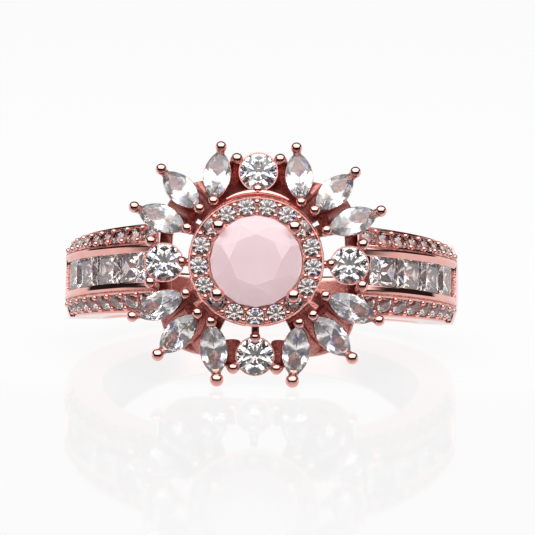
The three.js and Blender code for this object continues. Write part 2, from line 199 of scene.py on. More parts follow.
# ---- Closed surfaces -------------------------------------------------------------------
@dataclass
class Shell:
    """A closed surface in the ring's millimetres.

    The polish is 1 where the metal is polished and 0 where it is left rough from casting; the low values also
    paint the metal dark red as shade in the hollows.
    """

    points: Array
    quads: Array
    tris: Array
    polish: float | Array = 1.0

    def facing_out(self) -> Shell:
        """The same surface with its faces turned outwards.

        Six times the volume is the sum over the triangles of a . (b x c).

        Returns:
            This shell.
        """
        split = np.concatenate([self.tris, self.quads[:, [0, 1, 2]], self.quads[:, [0, 2, 3]]])
        a, b, c = (self.points[split[:, k]] for k in range(3))
        if np.einsum("ij,ij->", a, np.cross(b, c)) < 0:
            self.quads, self.tris = self.quads[:, ::-1], self.tris[:, ::-1]
        return self


def grid_quads(rows: int, columns: int, loop_rows: bool) -> Array:
    """Faces of a grid whose columns close on themselves.

    Args:
        rows: the number of rings.
        columns: the points in each ring.
        loop_rows: whether the last ring joins the first one.

    Returns:
        Four vertex numbers for each face.
    """
    i, j = np.meshgrid(np.arange(rows if loop_rows else rows - 1), np.arange(columns), indexing="ij")
    k, m = (i + 1) % rows, (j + 1) % columns
    near, far = i * columns, k * columns
    return np.stack([near + j, far + j, far + m, near + m], axis=-1).reshape(-1, 4)


def looped(rings: Array, polish: float | Array = 1.0) -> Shell:
    """A ring-shaped solid: closed sections that come back to the first one.

    Args:
        rings: sections, an array of rings by points by xyz.
        polish: one value, or one for each point of a section.

    Returns:
        The closed surface.
    """
    rows, columns, _ = rings.shape
    shine = np.broadcast_to(polish, (rows, columns)).ravel()
    none = np.zeros((0, 3), int)
    return Shell(rings.reshape(-1, 3), grid_quads(rows, columns, True), none, shine).facing_out()


def capped(rings: Array, polish: float | Array = 1.0) -> Shell:
    """A solid along a path: closed sections, and a fan of triangles at each end.

    Args:
        rings: sections, an array of rings by points by xyz.
        polish: one value, or one for each point of a section.

    Returns:
        The closed surface.
    """
    rows, columns, _ = rings.shape
    ends = np.stack([rings[0].mean(axis=0), rings[-1].mean(axis=0)])
    j = np.arange(columns)
    m, first, last = (j + 1) % columns, rows * columns, (rows - 1) * columns
    near = np.stack([np.full(columns, first), j, m], axis=-1)
    far = np.stack([np.full(columns, first + 1), last + m, last + j], axis=-1)
    shine = np.broadcast_to(polish, (rows, columns)).ravel()
    shine = np.concatenate([shine, shine[:1], shine[-1:]])
    points = np.concatenate([rings.reshape(-1, 3), ends])
    return Shell(points, grid_quads(rows, columns, False), np.concatenate([near, far]), shine).facing_out()


# The wide way of a bar that isn't told another: near the finger's own.
FINGERWARD = np.array([0.31, 0.2, 0.93])


def tube(path: Array, radii: Array, sides: int = 20, polish: float = 1.0, blade: float | Array = 1.0,
         across: Array = FINGERWARD) -> Shell:
    """A round bar along a path: each section is a circle square to the path.

    Args:
        path: the middle line's points.
        radii: the bar's radius at each point.
        sides: points round the section.
        polish: the finish, which also sets the painted shade.
        blade: how much wider the bar is along across; a column gives one value for each point.
        across: the direction of the wide side.

    Returns:
        The closed surface.
    """
    tangent = unit(np.gradient(path, axis=0))
    across = np.asarray(across, float)
    wide = unit(across - tangent * (tangent @ across)[:, None])
    thin = np.cross(tangent, wide)
    turn = np.arange(sides) * TAU / sides
    spread = (blade * np.cos(turn))[..., None] * wide[:, None]
    spread = spread + np.sin(turn)[None, :, None] * thin[:, None]
    return capped(path[:, None] + np.asarray(radii, float)[:, None, None] * spread, polish)


def straight(start: Array, stop: Array, thick: tuple[float, float], polish: float, sides: int = 16,
             rows: int = 10, **wide: float | Array) -> Shell:
    """A straight bar whose radius goes evenly from one value to another.

    Args:
        start: the middle of one end.
        stop: the middle of the other end.
        thick: the radius at each end.
        polish: the finish, which also sets the painted shade.
        sides: points round the section.
        rows: sections along the bar.
        wide: blade and across, as a tube takes them.

    Returns:
        The closed surface.
    """
    return tube(np.linspace(start, stop, rows), np.linspace(*thick, rows), sides, polish, **wide)


def ball(centre: Array, radius: float, facing: Array, tall: float = 1.0, rows: int = 12,
         sides: int = 20, pole: float = 0.12) -> Shell:
    """A bead: half a circle turned about the way it faces.

    Args:
        centre: the bead's middle.
        radius: its radius.
        facing: the way its pole points.
        tall: its height as a share of its width.
        rows: sections from pole to pole.
        sides: points round each section.
        pole: radians that stay flat at each pole.

    Returns:
        The closed surface.
    """
    bow = np.linspace(pole, math.pi - pole, rows)
    rise = np.cos(bow)[:, None] * radius * tall
    return tube(np.asarray(centre) - rise * unit(np.asarray(facing, float)), radius * np.sin(bow), sides)


def claw(foot: Array, tip: Array, bead: float, waist: float, base: float, knee: Array | None = None,
         polish: float = 0.35, **wide: float | Array) -> list[Shell]:
    """A claw: a bar from its foot that ends in a round bead.

    The bar follows (1 - t)^2 foot + 2 t (1 - t) knee + t^2 tip, with t from 0 to 1.

    Args:
        foot: where the bar starts.
        tip: the bead's centre.
        bead: the bead's radius.
        waist: the bar's radius under the bead.
        base: the bar's radius at the foot.
        knee: the curve's middle handle; halfway when left out.
        polish: the finish of the bar, which also sets its painted shade.
        wide: blade and across, as a tube takes them.

    Returns:
        The bar and the bead.
    """
    foot, tip = np.asarray(foot, float), np.asarray(tip, float)
    knee = (foot + tip) / 2 if knee is None else np.asarray(knee, float)
    t = np.linspace(0, 1, 16)[:, None]
    path = (1 - t) ** 2 * foot + 2 * t * (1 - t) * knee + t ** 2 * tip
    radii = base + (waist - base) * smoothstep(t[:, 0], 0, 0.8)
    bar = tube(path, radii, 16, polish, **wide)
    return [bar, ball(tip, bead, tip - knee, rows=14, sides=24, pole=0.1)]


def pit(away: Array, hole: float, wall: float, inside: float, outside: float, cone: float) -> Array:
    """Depth of a stone's seat: a wall that falls round the hole's edge, and a cone inside it.

    Args:
        away: distances from the stone's middle.
        hole: the hole's radius.
        wall: how deep the wall falls.
        inside: how far inside the edge the wall ends.
        outside: how far outside the edge it begins.
        cone: how much deeper the middle is.

    Returns:
        The depth at each distance.
    """
    fallen = 1 - smoothstep(away, hole - inside, hole + outside)
    return wall * fallen + cone * np.clip(1 - away / hole, 0, 1)


def rounded_bar(width: float, depth: float, count: int, squareness: float = 5.0) -> Array:
    """Outline of a bar with soft corners: a superellipse.

    Args:
        width: full width.
        depth: full depth.
        count: points round it.
        squareness: the exponent; 2 is an ellipse.

    Returns:
        Pairs of across and out.
    """
    turn = (np.arange(count) + 0.5) * TAU / count
    c, s = np.cos(turn), np.sin(turn)
    power = 2 / squareness
    across = np.sign(c) * np.abs(c) ** power * width / 2
    out = np.sign(s) * np.abs(s) ** power * depth / 2
    return np.stack([across, out], axis=-1)


# ---- Stones ----------------------------------------------------------------------------
def marquise_outline(length: float, width: float, angle: Array) -> Array:
    """Outline of a marquise: two equal arcs that meet in points.

    The arcs' radius is (length^2 + width^2) / (4 width); at x the arc stands
    sqrt(radius^2 - x^2) - (radius - width / 2) from the middle line.

    Args:
        length: from point to point.
        width: across the middle.
        angle: radians round the middle.

    Returns:
        Pairs of x and y.
    """
    arc = (length ** 2 + width ** 2) / (4 * width)
    x = length / 2 * np.cos(angle)
    y = np.sqrt(arc ** 2 - x ** 2) - (arc - width / 2)
    return np.stack([x, np.sign(np.sin(angle)) * np.maximum(y, 0)], axis=-1)


@dataclass(frozen=True)
class Brilliant:
    """A brilliant cut of 57 facets and a girdle, on a round or a marquise outline.

    Eight stars, eight kites and sixteen halves lie round the table; eight mains and sixteen
    halves lie under the girdle. Table, kite and main are shares of the outline, and crown, girdle
    and pavilion are heights as shares of the width; kite_rise and main_fall are shares of those.
    """

    length: float
    width: float
    table: float = 0.285
    crown: float = 0.16
    girdle: float = 0.012
    pavilion: float = 0.43
    kite: float = 0.81
    kite_rise: float = 0.615
    main: float = 0.23
    main_fall: float = 0.79

    def outline(self, count: int, turn: float, scale: float) -> Array:
        """Points of the girdle's outline, scaled towards the middle."""
        angle = (np.arange(count) + turn) * TAU / count
        if math.isclose(self.length, self.width):
            return np.stack([np.cos(angle), np.sin(angle)], -1) * self.width / 2 * scale
        return marquise_outline(self.length, self.width, angle) * scale

    def level(self, count: int, turn: float, share: float, height: float) -> Array:
        """A ring of corners at a share of the outline and at a height."""
        flat = self.outline(count, turn, share)
        return np.column_stack([flat, np.full(count, height * self.width)])

    def facets(self) -> tuple[Array, list[Array]]:
        """The stone's corners and its facets in its own frame.

        Returns:
            Corners, and groups of faces with equal numbers of corners.
        """
        points = np.concatenate([
            self.level(8, 0, self.table * 2, self.crown),
            self.level(8, 0.5, self.kite, self.crown * self.kite_rise),
            self.level(16, 0, 1, self.girdle), self.level(16, 0, 1, -self.girdle),
            self.level(8, 0.5, self.main, -self.pavilion * self.main_fall),
            np.array([[0, 0, -self.pavilion * self.width]]),
        ])
        k = np.arange(8)
        after, before = (k + 1) % 8, (k - 1) % 8
        table, star, top, low, main, culet = 0, 8, 16, 32, 48, 56
        g, half, full = 2 * k, 2 * k + 1, (2 * k + 2) % 16
        j, m = np.arange(16), (np.arange(16) + 1) % 16
        tris = np.concatenate([
            np.stack([table + k, star + k, table + after], -1),
            np.stack([star + k, top + g, top + half], -1), np.stack([star + k, top + half, top + full], -1),
            np.stack([main + k, low + half, low + g], -1), np.stack([main + k, low + full, low + half], -1),
        ])
        quads = np.concatenate([
            np.stack([table + k, star + before, top + g, star + k], -1),
            np.stack([top + j, low + j, low + m, top + m], -1),
            np.stack([np.full(8, culet), main + k, low + g, main + before], -1),
        ])
        return points, [tris, quads, np.arange(8)[None, :]]


# ---- Meshes into Blender -----------------------------------------------------------------
def new_mesh(name: str, points: Array, faces: list[list[int]], smooth: bool) -> bpy.types.Object:
    """A mesh object at the origin.

    Args:
        name: the piece's name.
        points: vertices in metres of the part.
        faces: vertex numbers of each face.
        smooth: whether faces shade into each other.

    Returns:
        The object, linked to the scene.
    """
    mesh = bpy.data.meshes.new(name)
    mesh.from_pydata(points.tolist(), [], faces)
    mesh.polygons.foreach_set("use_smooth", np.full(len(mesh.polygons), smooth))
    mesh.update()
    made = bpy.data.objects.new(name, mesh)
    bpy.context.scene.collection.objects.link(made)
    return made


def settle(piece: bpy.types.Object, material: bpy.types.Material, slot: Slot, *nodes: str) -> None:
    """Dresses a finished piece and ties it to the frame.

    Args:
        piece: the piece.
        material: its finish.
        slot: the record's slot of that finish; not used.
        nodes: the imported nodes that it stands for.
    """
    piece.data.materials.clear()
    piece.data.materials.append(material)
    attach(piece, BODY)
    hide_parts(*nodes)
    log.info("%s: %d faces, stands for %s", piece.name, len(piece.data.polygons), ", ".join(nodes))


@dataclass
class Casting:
    """A metal piece made of closed shells that run into each other."""

    name: str
    shells: list[Shell] = field(default_factory=list)

    def add(self, *shells: Shell) -> None:
        """Adds shells to the casting."""
        self.shells.extend(shells)

    def build(self, place: RingFrame, crease: float = 42.0) -> bpy.types.Object:
        """The casting as one object with its polish, which also sets the painted shade, as an attribute.

        Args:
            place: the ring's frame.
            crease: edges sharper than this many degrees stay crisp.

        Returns:
            The object.
        """
        starts = np.cumsum([0] + [len(s.points) for s in self.shells])
        faces: list[list[int]] = []
        for start, shell in zip(starts, self.shells):
            faces += (shell.quads + start).tolist() + (shell.tris + start).tolist()
        points = place.to_row(np.concatenate([s.points for s in self.shells]))
        made = new_mesh(self.name, points, faces, True)
        # shine is the polish of each point, which also sets its painted shade.
        shine = np.concatenate([np.broadcast_to(s.polish, len(s.points)) for s in self.shells])
        attribute = made.data.attributes.new("polish", "FLOAT", "POINT")
        attribute.data.foreach_set("value", shine.astype(np.float32))
        made.data.set_sharp_from_angle(angle=math.radians(crease))
        return made


def stones(name: str, cuts: list[tuple[Brilliant, Seat]], place: RingFrame) -> bpy.types.Object:
    """Several stones as one flat-facetted object.

    Args:
        name: the piece's name.
        cuts: each stone's cut and seat.
        place: the ring's frame.

    Returns:
        The object.
    """
    points, faces = [], []
    start = 0
    for cut, seat in cuts:
        corners, groups = cut.facets()
        points.append(place.to_row(seat.place(corners)))
        for group in groups:
            faces += (group + start).tolist()
        start += len(corners)
    made = new_mesh(name, np.concatenate(points), faces, False)
    return outward(made)


def outward(made: bpy.types.Object) -> bpy.types.Object:
    """Turns every face of a closed mesh outwards.

    Args:
        made: the object.

    Returns:
        The same object.
    """
    work = bmesh.new()
    work.from_mesh(made.data)
    bmesh.ops.recalc_face_normals(work, faces=work.faces)
    work.to_mesh(made.data)
    work.free()
    return made


# ---- Shader maths ---------------------------------------------------------------------
Number = float | int


@dataclass(frozen=True)
class Wire:
    """A socket that takes part in arithmetic; each operation adds a Math node."""

    sheet: NodeSheet
    socket: bpy.types.NodeSocket

    def _math(self, operation: str, a: Wire | Number, b: Wire | Number) -> Wire:
        """A Math node of two values."""
        return self.sheet.add("ShaderNodeMath", {"operation": operation}, {0: a, 1: b})

    def __add__(self, other: Wire | Number) -> Wire:
        """Sum."""
        return self._math("ADD", self, other)

    __radd__ = __add__

    def __sub__(self, other: Wire | Number) -> Wire:
        """Difference."""
        return self._math("SUBTRACT", self, other)

    def __rsub__(self, other: Wire | Number) -> Wire:
        """Difference from a number."""
        return self._math("SUBTRACT", other, self)

    def __mul__(self, other: Wire | Number) -> Wire:
        """Product."""
        return self._math("MULTIPLY", self, other)

    __rmul__ = __mul__

    def ramp(self, low: float, high: float) -> Wire:
        """A smooth rise from 0 at low to 1 at high."""
        span = {"Value": self, "From Min": low, "From Max": high}
        return self.sheet.add("ShaderNodeMapRange", {"interpolation_type": "SMOOTHSTEP"}, span)

    def bigger(self, other: Wire | Number) -> Wire:
        """The larger of two."""
        return self._math("MAXIMUM", self, other)


class NodeSheet:
    """A node tree and the one way of adding nodes to it."""

    def __init__(self, tree: bpy.types.NodeTree) -> None:
        """Empties the tree."""
        self.tree = tree
        self.tree.nodes.clear()

    def add(self, kind: str, settings: dict | None = None, inputs: dict | None = None,
            output: int | str = 0) -> Wire:
        """Adds a node.

        Args:
            kind: the node's type.
            settings: its properties, set first.
            inputs: values or wires for its sockets, by name or number.
            output: the output that the wire takes.

        Returns:
            A wire from that output.
        """
        node = self.tree.nodes.new(kind)
        for name, value in (settings or {}).items():
            setattr(node, name, value)
        for key, value in (inputs or {}).items():
            socket = node.inputs[key]
            if isinstance(value, Wire):
                self.tree.links.new(value.socket, socket)
            else:
                socket.default_value = value
        return Wire(self, node.outputs[output] if node.outputs else node.inputs[0])

    def split(self, kind: str, source: Wire) -> list[Wire]:
        """The parts of a colour or a vector, a wire from each output of one node."""
        first = self.add(kind, None, {0: source})
        return [Wire(self, socket) for socket in first.socket.node.outputs]

    def end(self, kind: str, surface: Wire) -> None:
        """Ties a shader to the tree's output node."""
        self.add(kind, None, {"Surface": surface})

    def blend(self, share: Wire | Number, a: Wire | tuple, b: Wire | tuple) -> Wire:
        """A colour between a and b."""
        return self.add("ShaderNodeMix", {"data_type": "RGBA"}, {0: share, 6: a, 7: b}, 2)

    def place(self) -> Wire:
        """Object coordinates."""
        return self.add("ShaderNodeTexCoord", None, None, "Object")

    def noise(self, scale: float, detail: float) -> Wire:
        """Noise on object coordinates."""
        pattern = {"Vector": self.place(), "Scale": scale, "Detail": detail}
        return self.add("ShaderNodeTexNoise", None, pattern)


def rgb(red: float, green: float, blue: float) -> tuple[float, float, float, float]:
    """An opaque linear colour."""
    return red, green, blue, 1.0


def new_material(name: str) -> tuple[bpy.types.Material, NodeSheet]:
    """An empty node material and its sheet."""
    made = bpy.data.materials.new(name)
    made.use_nodes = True
    return made, NodeSheet(made.node_tree)


# ---- Finishes ---------------------------------------------------------------------------
MATERIAL_END = "ShaderNodeOutputMaterial"
PRINCIPLED = "ShaderNodeBsdfPrincipled"


@dataclass(frozen=True)
class RoseGold:
    """Rose gold plate: a mirror where polished; sandy where left rough from casting, and there painted dark
    red as shade in the hollows.
    """

    polished: tuple = rgb(0.88, 0.48, 0.43)
    worn: tuple = rgb(0.84, 0.41, 0.36)
    # The dark cast colour below is painted shade for the metal in the hollows; sand is its lighter grain.
    cast_and_shade: tuple = rgb(0.36, 0.08, 0.07)
    sand: tuple = rgb(0.80, 0.38, 0.34)
    shine: float = 0.025
    dull: float = 0.45
    grain: float = 13000.0
    cloud: float = 900.0
    relief: float = 3.5e-5
    relief_strength: float = 0.9

    def material(self) -> bpy.types.Material:
        """The finish, read from the piece's polish attribute; where that is low the colour is the dark red
        painted shade of the hollows.

        Returns:
            The material.
        """
        made, sheet = new_material("rose_gold")
        polish = sheet.add("ShaderNodeAttribute", {"attribute_name": "polish"}, None, "Fac")
        grain = sheet.noise(self.grain, 3)
        cloud = sheet.noise(self.cloud, 4)
        bare = sheet.blend(cloud.ramp(0.35, 0.7), self.polished, self.worn)
        # Painted shade: low polish takes the dark red cast colour, as the hollows look in shadow.
        rough_cast_and_shade = sheet.blend(grain.ramp(0.4, 0.68), self.cast_and_shade, self.sand)
        colour = sheet.blend(polish.ramp(0.1, 0.8), rough_cast_and_shade, bare)
        rough = self.dull + polish.ramp(0, 0.9) * (self.shine - self.dull) + cloud * 0.03 + grain * 0.01
        bump = sheet.add("ShaderNodeBump", None, {
            "Strength": self.relief_strength, "Distance": self.relief, "Height": grain * (1 - polish * 0.96)})
        sheet.end(MATERIAL_END, sheet.add(PRINCIPLED, None, {
            "Base Color": colour, "Metallic": 1.0, "Roughness": rough, "Normal": bump}))
        return made


@dataclass(frozen=True)
class ClearStone:
    """Colourless zirconia: polished facets, with a few cold and warm flecks of fire painted into the colour
    as glints.
    """

    name: str = "clear_stone"
    body: tuple = rgb(1.0, 1.0, 1.0)
    cold_glint: tuple = rgb(0.45, 0.5, 1.0)
    warm_glint: tuple = rgb(1.0, 0.82, 0.62)
    ior: float = 2.15
    glint_scale: float = 3800.0
    dust: float = 2500.0
    clarity: float = 1.0

    def material(self) -> bpy.types.Material:
        """The stone as a refracting material; each cell of a Voronoi pattern draws its own painted glint of
        fire.

        Returns:
            The material.
        """
        made, sheet = new_material(self.name)
        pattern = {"Vector": sheet.place(), "Scale": self.glint_scale}
        cell = sheet.add("ShaderNodeTexVoronoi", None, pattern, "Color")
        draw, other_draw, _ = sheet.split("ShaderNodeSeparateColor", cell)
        # These tints are painted light: cold and warm glints of fire in the colour.
        tint = sheet.blend(draw.ramp(0.9, 0.96), self.body, self.cold_glint)
        tint = sheet.blend(other_draw.ramp(0.92, 0.97), tint, self.warm_glint)
        rough = sheet.noise(self.dust, 2).ramp(0.55, 0.9) * 0.02
        sheet.end(MATERIAL_END, sheet.add(PRINCIPLED, None, {
            "Base Color": tint, "Roughness": rough, "IOR": self.ior, "Transmission Weight": self.clarity}))
        return made


@dataclass(frozen=True)
class MilkyStone:
    """Milky pale pink quartz: cloudy inside, with a soft shine outside and a faint painted glow that lightens
    its shaded lower side.
    """

    light: tuple = rgb(0.62, 0.48, 0.50)
    deep: tuple = rgb(0.57, 0.43, 0.46)
    painted_glow: tuple = rgb(1.0, 0.86, 0.89)
    painted_glow_strength: float = 0.24
    cloud: float = 260.0
    ior: float = 1.55
    clarity: float = 0.45
    milk: float = 0.6
    milk_depth: float = 0.0015

    def material(self) -> bpy.types.Material:
        """The stone as a cloudy material that glows faintly with painted light.

        Returns:
            The material.
        """
        made, sheet = new_material("milky_pink_stone")
        cloud = sheet.noise(self.cloud, 3)
        # The emission is painted light: a faint pink glow, though the stone is no lamp, to lighten its shaded
        # lower side.
        sheet.end(MATERIAL_END, sheet.add(PRINCIPLED, None, {
            "Base Color": sheet.blend(cloud.ramp(0.3, 0.7), self.light, self.deep),
            "Roughness": 0.04 + cloud * 0.05, "IOR": self.ior, "Transmission Weight": self.clarity,
            "Subsurface Weight": self.milk, "Subsurface Scale": self.milk_depth,
            "Subsurface Radius": (1.0, 0.7, 0.75), "Emission Color": self.painted_glow,
            "Emission Strength": self.painted_glow_strength}))
        return made


# ---- The band ----------------------------------------------------------------------------
# Polish of a half section, point by point; low polish also paints the metal dark as shade. Shoulder: channel,
# pave bevel, edge and side, bore.
SHOULDER_POLISH_AND_SHADE = np.repeat([0.3, 0.1, 1.0, 0.6], [10, 22, 15, 7])
PLAIN_POLISH_AND_SHADE = np.repeat([1.0, 0.6], [47, 7])


@dataclass
class Band:
    """The shank, its channels, its rails and its pave rows, in millimetres and degrees."""

    place: RingFrame
    bore: float = 8.75
    bore_round: float = 0.3
    radius: float = 10.96
    back_radius: float = 10.4
    crown_drop: float = 0.28
    half_at_30: float = 2.5
    half_at_75: float = 2.2
    back_half: float = 1.25
    taper_from: float = 80.0
    taper_to: float = 150.0
    start: float = 30.06
    opening: float = 5.49
    channel_to: float = 80.5
    channel_half: float = 0.93
    channel_floor: float = 1.5
    channel_fill: float = 0.22
    fill_near: tuple[float, float] = (33.2, 33.8)
    fill_far: tuple[float, float] = (75.3, 75.9)
    wall_lean: float = 0.05
    ledge: float = 0.2
    rail: float = 0.36
    rail_slope: float = 0.33
    rail_flat: float = 0.02
    rail_foot: float = 0.32
    rail_lift: float = 0.05
    lip: float = 0.1
    lip_rise: float = 0.03
    bevel: float = 32.0
    pave_count: int = 8
    pave_first: float = 34.75
    pave_pitch: float = 6.15
    pave_diameter: float = 0.94
    pave_sink: float = 0.02
    pave_bead: float = 0.16

    @property
    def rail_outer(self) -> float:
        """Height of a rail's outer face."""
        return self.channel_half + self.rail

    def half(self, degrees: float | Array) -> Array:
        """Half the band's width: a straight taper, then a smooth one to the back.

        Args:
            degrees: angles from the head.

        Returns:
            The half widths.
        """
        past = np.minimum(degrees, self.taper_from) - 30
        shoulder = self.half_at_30 + (self.half_at_75 - self.half_at_30) * past / 45
        return shoulder + (self.back_half - shoulder) * smoothstep(degrees, self.taper_from, self.taper_to)

    def drop(self, height: float | Array) -> Array:
        """How far the bevel has dropped at a height."""
        return (np.asarray(height) - self.rail_outer) * math.tan(math.radians(self.bevel))

    def outer(self, degrees: Array) -> Array:
        """Radius of the plain band's crown at an angle."""
        return self.radius + (self.back_radius - self.radius) * smoothstep(degrees, self.taper_from, 180)

    def trimmed(self, degrees: Array, radius: Array) -> Array:
        """Angles moved so that the band ends in a straight cut, asin(opening / radius) from the head.

        Args:
            degrees: angles from the head.
            radius: radii at those angles.

        Returns:
            The angles, moved less and less away from the cut.
        """
        shift = np.degrees(np.arcsin(self.opening / radius)) - self.start
        fade_over = 1.8 * np.abs(shift) + 0.5
        return degrees + shift * np.clip(1 - (degrees - self.start) / fade_over, 0, 1)

    def pave_height(self, degrees: float | Array) -> Array:
        """Height of a pave row's middle."""
        return (self.rail_outer + self.half(degrees) - self.lip) / 2

    def bevel_facing(self, angle: float, edge: Edge) -> Array:
        """The way a bevel faces: out from the finger and towards the band's edge."""
        tilt = math.radians(self.bevel)
        return band_point(angle, 1, 0) * math.cos(tilt) + np.array([0, 0, edge.value * math.sin(tilt)])

    def pave_seats(self, side: Side, edge: Edge) -> list[Seat]:
        """The seats of one pave row.

        Args:
            side: the shoulder.
            edge: the edge of the band.

        Returns:
            The seats, from the head outwards.
        """
        seats = []
        for degrees in self.pave_first + self.pave_pitch * np.arange(self.pave_count):
            height = float(self.pave_height(degrees))
            angle = side.value * math.radians(degrees)
            middle = band_point(angle, self.radius - self.drop(height) - self.pave_sink, edge.value * height)
            along = [math.cos(angle), math.sin(angle), 0]
            seats.append(Seat.at(middle, along, self.bevel_facing(angle, edge)))
        return seats

    def pave_pits(self, degrees: Array, height: Array) -> Array:
        """Depth of the pave seats over a bevel.

        Args:
            degrees: angles, a column.
            height: heights, rings by points.

        Returns:
            Depths, rings by points.
        """
        phase = (degrees - self.pave_first) / self.pave_pitch
        nearest = np.clip(np.round(phase), 0, self.pave_count - 1)
        along = (phase - nearest) * self.pave_pitch * math.pi / 180 * self.radius * 0.97
        up_slope = (height - self.pave_height(degrees)) / math.cos(math.radians(self.bevel))
        return pit(np.hypot(along, up_slope), self.pave_diameter / 2 * 1.04, 0.2, 0.05, 0.02, 0.3)

    def inward(self, half: Array, top: Array) -> tuple[Array, Array]:
        """The rest of a half section: the flat side, a quarter round and the bore.

        Args:
            half: half widths, a column.
            top: radii where the flat side begins, a column.

        Returns:
            Heights and radii, rings by points.
        """
        one = np.ones_like(half)
        bow = np.linspace(0.2, math.pi / 2, 6)
        round_h = half - self.bore_round * (1 - np.cos(bow))
        heights = [half * np.ones(5), round_h, half * np.linspace(0.7, 0, 5)]
        radii = [top + (self.bore + self.bore_round - top) * np.linspace(0.2, 1, 5),
                 (self.bore + self.bore_round * (1 - np.sin(bow))) * one, self.bore * one * np.ones(5)]
        return np.concatenate(heights, axis=1), np.concatenate(radii, axis=1)

    def shoulder_section(self, degrees: Array) -> tuple[Array, Array]:
        """Upper half of the shoulder's section, from the channel's floor to the middle of the bore.

        Args:
            degrees: angles, one for each ring.

        Returns:
            Heights and radii, rings by points.
        """
        half = self.half(degrees)[:, None]
        one = np.ones_like(half)
        filled = smoothstep(degrees, *self.fill_far) + 1 - smoothstep(degrees, *self.fill_near)
        fill = (self.channel_floor - self.channel_fill) * filled[:, None]
        floor_h = np.linspace(0, self.channel_half, 5) * one
        floor_r = self.radius - self.channel_floor + fill
        wall_h = np.linspace(self.channel_half, self.channel_half + self.wall_lean, 5) * one
        wall_r = floor_r + (self.radius - self.ledge - floor_r) * np.linspace(0, 1, 5)
        lip = half - self.lip
        bevel_from = self.rail_outer - 0.04
        bevel_h = bevel_from + (lip - bevel_from) * np.linspace(0, 1, 22)
        bevel_r = self.radius - self.drop(bevel_h) + 0.01 - self.pave_pits(degrees[:, None], bevel_h)
        bow = np.linspace(0, math.pi / 2, 6)
        edge_h = lip + self.lip * np.sin(bow)
        edge_r = self.radius - self.drop(lip) + self.lip_rise - self.lip * (1 - np.cos(bow))
        rest_h, rest_r = self.inward(half, edge_r[:, -1:])
        heights = [floor_h, wall_h, bevel_h, edge_h, rest_h]
        radii = [floor_r * np.ones(5), wall_r, bevel_r, edge_r, rest_r]
        return np.concatenate(heights, axis=1), np.concatenate(radii, axis=1)

    def plain_section(self, degrees: Array) -> tuple[Array, Array]:
        """Upper half of the plain band's section: a low crown, outer - crown_drop share^4, then the bore.

        Args:
            degrees: angles, one for each ring.

        Returns:
            Heights and radii, rings by points.
        """
        half = self.half(degrees)[:, None]
        share = np.linspace(0, 1, 38)
        crown_r = self.outer(degrees)[:, None] - self.crown_drop * share ** 4
        rest_h, rest_r = self.inward(half, crown_r[:, -1:])
        return np.concatenate([half * share, rest_h], axis=1), np.concatenate([crown_r, rest_r], axis=1)

    def body(self) -> Shell:
        """The band's body: its section carried round the finger from one end to the other.

        The right side is worked out and mirrored to the left, and so is each section's upper half.

        Returns:
            The closed surface.
        """
        shoulder = np.linspace(self.start, self.channel_to, 190)
        plain = np.linspace(self.channel_to + 0.1, 180, 70)
        parts = zip(self.shoulder_section(shoulder), self.plain_section(plain))
        height, radius = (np.concatenate(part) for part in parts)
        angle = self.trimmed(np.concatenate([shoulder, plain])[:, None], radius)
        # The finish of each point also sets how much painted shade it gets.
        finish = [np.tile(SHOULDER_POLISH_AND_SHADE, (len(shoulder), 1)), np.tile(PLAIN_POLISH_AND_SHADE, (len(plain), 1))]
        polish = np.concatenate(finish)
        sides = ((height, height), (radius, radius), (angle, 360 - angle), (polish, polish))
        height, radius, angle, polish = (np.concatenate([a, b[-2::-1]]) for a, b in sides)
        halves = ((height, -height), (radius, radius), (angle, angle), (polish, polish))
        height, radius, angle, polish = (np.concatenate([a, b[:, -2:0:-1]], 1) for a, b in halves)
        return capped(band_point(np.radians(angle), radius, height), polish)

    def rails(self) -> list[Shell]:
        """The four rails: a bar with a flat top and two sloping flanks carried along the shoulder.

        Returns:
            The closed surfaces.
        """
        across = np.array([0.01, 0.02, 0.04, 0.08, 0.12, 0.16, 0.2, 0.25, 0.3])
        flank = np.column_stack([across, -self.rail_slope * np.maximum(across - self.rail_flat, 0)])
        half = np.concatenate([flank, [[self.rail_foot, -0.12], [self.rail_foot, -0.5]]])
        bar = np.concatenate([half[::-1] * [-1, 1], half])
        radius = self.radius + self.rail_lift + bar[:, 1]
        angle = np.radians(self.trimmed(np.linspace(self.start, self.channel_to + 0.8, 120)[:, None], radius))
        middle = self.channel_half + self.rail / 2
        return [capped(band_point(side.value * angle, radius, edge.value * middle + bar[:, 0]))
                for side, edge in ROWS]

    def pave_beads(self, side: Side, edge: Edge) -> list[Shell]:
        """Two shared beads in each gap of one pave row.

        Args:
            side: the shoulder.
            edge: the edge of the band.

        Returns:
            The beads.
        """
        shells = []
        for degrees in self.pave_first + self.pave_pitch * (np.arange(self.pave_count + 1) - 0.5):
            angle = side.value * math.radians(degrees)
            for height in (self.rail_outer + 0.2, float(self.half(degrees)) - self.lip - 0.14):
                centre = band_point(angle, self.radius - self.drop(height) + 0.03, edge.value * height)
                shells.append(ball(centre, self.pave_bead, self.bevel_facing(angle, edge), sides=14))
        return shells

    def build(self, metal: bpy.types.Material, stone: bpy.types.Material) -> None:
        """Builds and dresses the band and its small stones.

        Args:
            metal: the band's finish.
            stone: the small stones' finish.
        """
        casting = Casting("band_casting", [self.body(), *self.rails()])
        for side, edge in ROWS:
            casting.add(*self.pave_beads(side, edge))
        settle(casting.build(self.place), metal, Slot.BAND, "band")
        cut = Brilliant(self.pave_diameter, self.pave_diameter)
        for side, edge in ROWS:
            row = f"{side.name.lower()}_{edge.name.lower()}"
            seats = [(cut, seat) for seat in self.pave_seats(side, edge)]
            settle(stones(f"pave_stones_{row}", seats, self.place), stone, Slot.CLEAR, f"pave_row_{row}")


# ---- The head -----------------------------------------------------------------------------
OUTWARD = np.array([0.0, -1.0, 0.0])

# Radius of the lower petals' outer beads; every other bead of a petal has petal_bead.
LOW_BEAD = {"upper": 0.38, "middle": 0.34, "side": 0.31}
